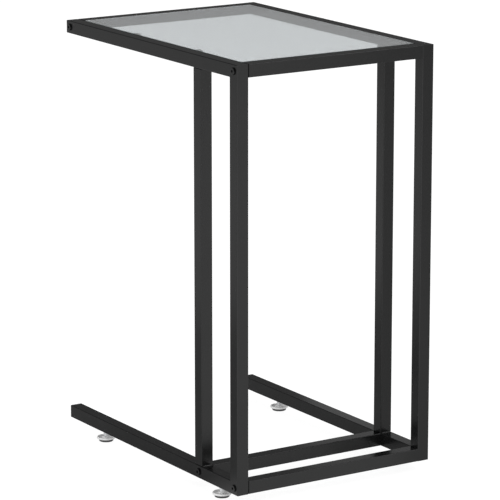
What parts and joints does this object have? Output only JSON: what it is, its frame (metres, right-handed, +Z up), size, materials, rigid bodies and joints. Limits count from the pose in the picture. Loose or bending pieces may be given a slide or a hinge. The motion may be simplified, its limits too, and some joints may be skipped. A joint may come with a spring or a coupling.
{
  "type": "c shaped side table",
  "caption": "C shaped side table: black square-tube steel frame, open on one side, with a clear inset glass top and screw-in levelling feet.",
  "frame": {"origin": "on the floor, under the middle of the base's length and width", "axes": "+Z up; +X along the table from its open side to its spine; +Y from the front frame to the rear frame"},
  "size_m": [0.5034, 0.359, 0.667],
  "materials": {
    "frame_black": "semi-gloss black paint with a fine grain",
    "top_glass": "clear polished safety glass with ground edges",
    "clear_silicone": "soft clear silicone",
    "bolt_black": "black oxide, slightly oily",
    "zinc_steel": "bright zinc plate",
    "plug_black": "matte moulded plastic",
    "foot_grey": "light grey moulded nylon with a soft sheen",
    "sole_black": "matte hard rubber"
  },
  "bodies": {
    "table": {"front_top_rail": "frame_black", "front_base_rail": "frame_black", "front_outer_post": "frame_black", "front_inner_post": "frame_black", "rear_top_rail": "frame_black", "rear_base_rail": "frame_black", "rear_outer_post": "frame_black", "rear_inner_post": "frame_black", "free_end_top_crossrail": "frame_black", "spine_end_top_crossrail": "frame_black", "inner_base_crossbar": "frame_black", "outer_base_crossbar": "frame_black", "glass_tabs": "frame_black", "glass_top": "top_glass", "glass_bumpers": "clear_silicone", "top_frame_bolts": "bolt_black", "top_nut_plates": "frame_black", "top_rail_end_plugs": "plug_black", "base_frame_bolts": "bolt_black", "base_nut_plates": "frame_black", "base_rail_end_plugs": "plug_black", "foot_weld_nuts": "zinc_steel"},
    "front_free_sole": {"front_free_foot_sole": "sole_black"},
    "front_free_screw": {"front_free_foot_flange": "foot_grey", "front_free_foot_stud": "zinc_steel"},
    "front_spine_sole": {"front_spine_foot_sole": "sole_black"},
    "front_spine_screw": {"front_spine_foot_flange": "foot_grey", "front_spine_foot_stud": "zinc_steel"},
    "rear_free_sole": {"rear_free_foot_sole": "sole_black"},
    "rear_free_screw": {"rear_free_foot_flange": "foot_grey", "rear_free_foot_stud": "zinc_steel"},
    "rear_spine_sole": {"rear_spine_foot_sole": "sole_black"},
    "rear_spine_screw": {"rear_spine_foot_flange": "foot_grey", "rear_spine_foot_stud": "zinc_steel"}
  },
  "joints": [
    {"name": "front_free_foot_height", "type": "slide", "parent": "table", "child": "front_free_sole", "axis": [0, 0, 1], "range_m": [-0.0025, 0.0075]},
    {"name": "front_free_foot_turn", "type": "hinge", "parent": "front_free_sole", "child": "front_free_screw", "pos_m": [-0.15475, -0.165, 0.004], "axis": [0, 0, 1], "range_deg": [-720, 2160]},
    {"name": "front_spine_foot_height", "type": "slide", "parent": "table", "child": "front_spine_sole", "axis": [0, 0, 1], "range_m": [-0.0025, 0.0075]},
    {"name": "front_spine_foot_turn", "type": "hinge", "parent": "front_spine_sole", "child": "front_spine_screw", "pos_m": [0.19325, -0.165, 0.004], "axis": [0, 0, 1], "range_deg": [-720, 2160]},
    {"name": "rear_free_foot_height", "type": "slide", "parent": "table", "child": "rear_free_sole", "axis": [0, 0, 1], "range_m": [-0.0025, 0.0075]},
    {"name": "rear_free_foot_turn", "type": "hinge", "parent": "rear_free_sole", "child": "rear_free_screw", "pos_m": [-0.15475, 0.165, 0.004], "axis": [0, 0, 1], "range_deg": [-720, 2160]},
    {"name": "rear_spine_foot_height", "type": "slide", "parent": "table", "child": "rear_spine_sole", "axis": [0, 0, 1], "range_m": [-0.0025, 0.0075]},
    {"name": "rear_spine_foot_turn", "type": "hinge", "parent": "rear_spine_sole", "child": "rear_spine_screw", "pos_m": [0.19325, 0.165, 0.004], "axis": [0, 0, 1], "range_deg": [-720, 2160]}
  ],
  "couplings": [
    {"joint": "front_free_foot_height", "follows": "front_free_foot_turn", "m_per_rad": 0.00019894},
    {"joint": "front_spine_foot_height", "follows": "front_spine_foot_turn", "m_per_rad": 0.00019894},
    {"joint": "rear_free_foot_height", "follows": "rear_free_foot_turn", "m_per_rad": 0.00019894},
    {"joint": "rear_spine_foot_height", "follows": "rear_spine_foot_turn", "m_per_rad": 0.00019894}
  ]
}
